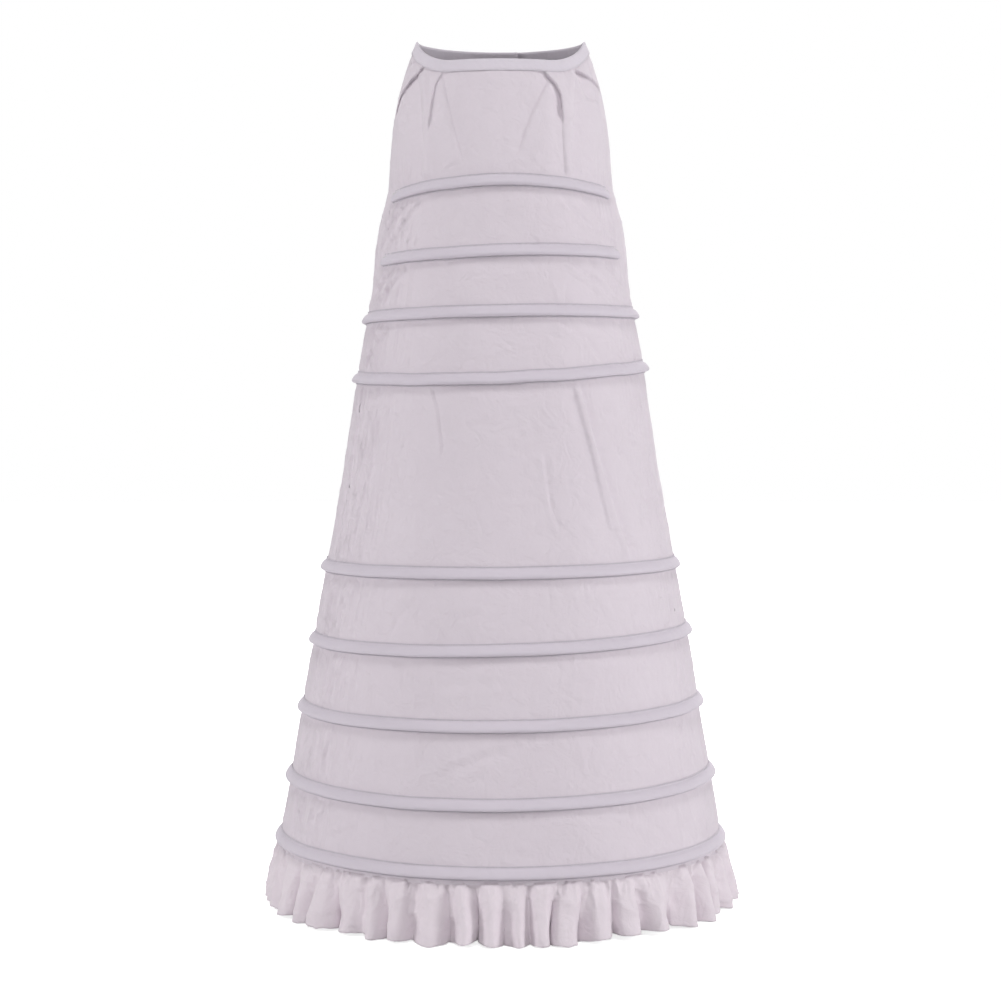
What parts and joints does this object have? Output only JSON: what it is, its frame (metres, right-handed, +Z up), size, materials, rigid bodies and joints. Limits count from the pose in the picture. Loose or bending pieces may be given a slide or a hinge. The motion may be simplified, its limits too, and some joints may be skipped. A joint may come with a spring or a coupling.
{
  "type": "hoop petticoat",
  "caption": "Floor-length white cotton hoop petticoat with hoops of flat steel in stitched casings, front pleats, and a gathered ruffle at the hem.",
  "frame": {"origin": "centre of the circle that the hem rests in, on the ground", "axes": "+Z up along the skirt, -Y towards the front, +X towards the right of someone facing the front"},
  "size_m": [0.6054, 0.6054, 1.085],
  "materials": {
    "panel_cotton": "matt plain-weave white cotton, creased",
    "casing_cotton": "matt plain-weave white cotton strip, stitched along both edges",
    "ruffle_cotton": "matt plain-weave white cotton, gathered, with a raw cut edge",
    "band_cotton": "matt folded white cotton band",
    "spring_steel": "flat tempered steel strip",
    "plated_sleeve": "crimped plated sheet",
    "button": "plain four-hole shirt button"
  },
  "bodies": {
    "root": {"back_left_panel": "panel_cotton", "back_right_panel": "panel_cotton", "casing_1": "casing_cotton", "casing_2": "casing_cotton", "casing_3": "casing_cotton", "casing_4": "casing_cotton", "casing_5": "casing_cotton", "casing_6": "casing_cotton", "casing_7": "casing_cotton", "casing_8": "casing_cotton", "casing_9": "casing_cotton", "front_panel": "panel_cotton", "hoop_joiner_3": "plated_sleeve", "hoop_joiner_4": "plated_sleeve", "hoop_joiner_5": "plated_sleeve", "hoop_joiner_6": "plated_sleeve", "hoop_joiner_7": "plated_sleeve", "hoop_joiner_8": "plated_sleeve", "hoop_joiner_9": "plated_sleeve", "hoop_steel_1": "spring_steel", "hoop_steel_2": "spring_steel", "hoop_steel_3": "spring_steel", "hoop_steel_4": "spring_steel", "hoop_steel_5": "spring_steel", "hoop_steel_6": "spring_steel", "hoop_steel_7": "spring_steel", "hoop_steel_8": "spring_steel", "hoop_steel_9": "spring_steel", "hoop_tips_1": "plated_sleeve", "hoop_tips_2": "plated_sleeve", "ruffle": "ruffle_cotton", "waist_button": "button", "waistband": "band_cotton"}
  },
  "joints": []
}
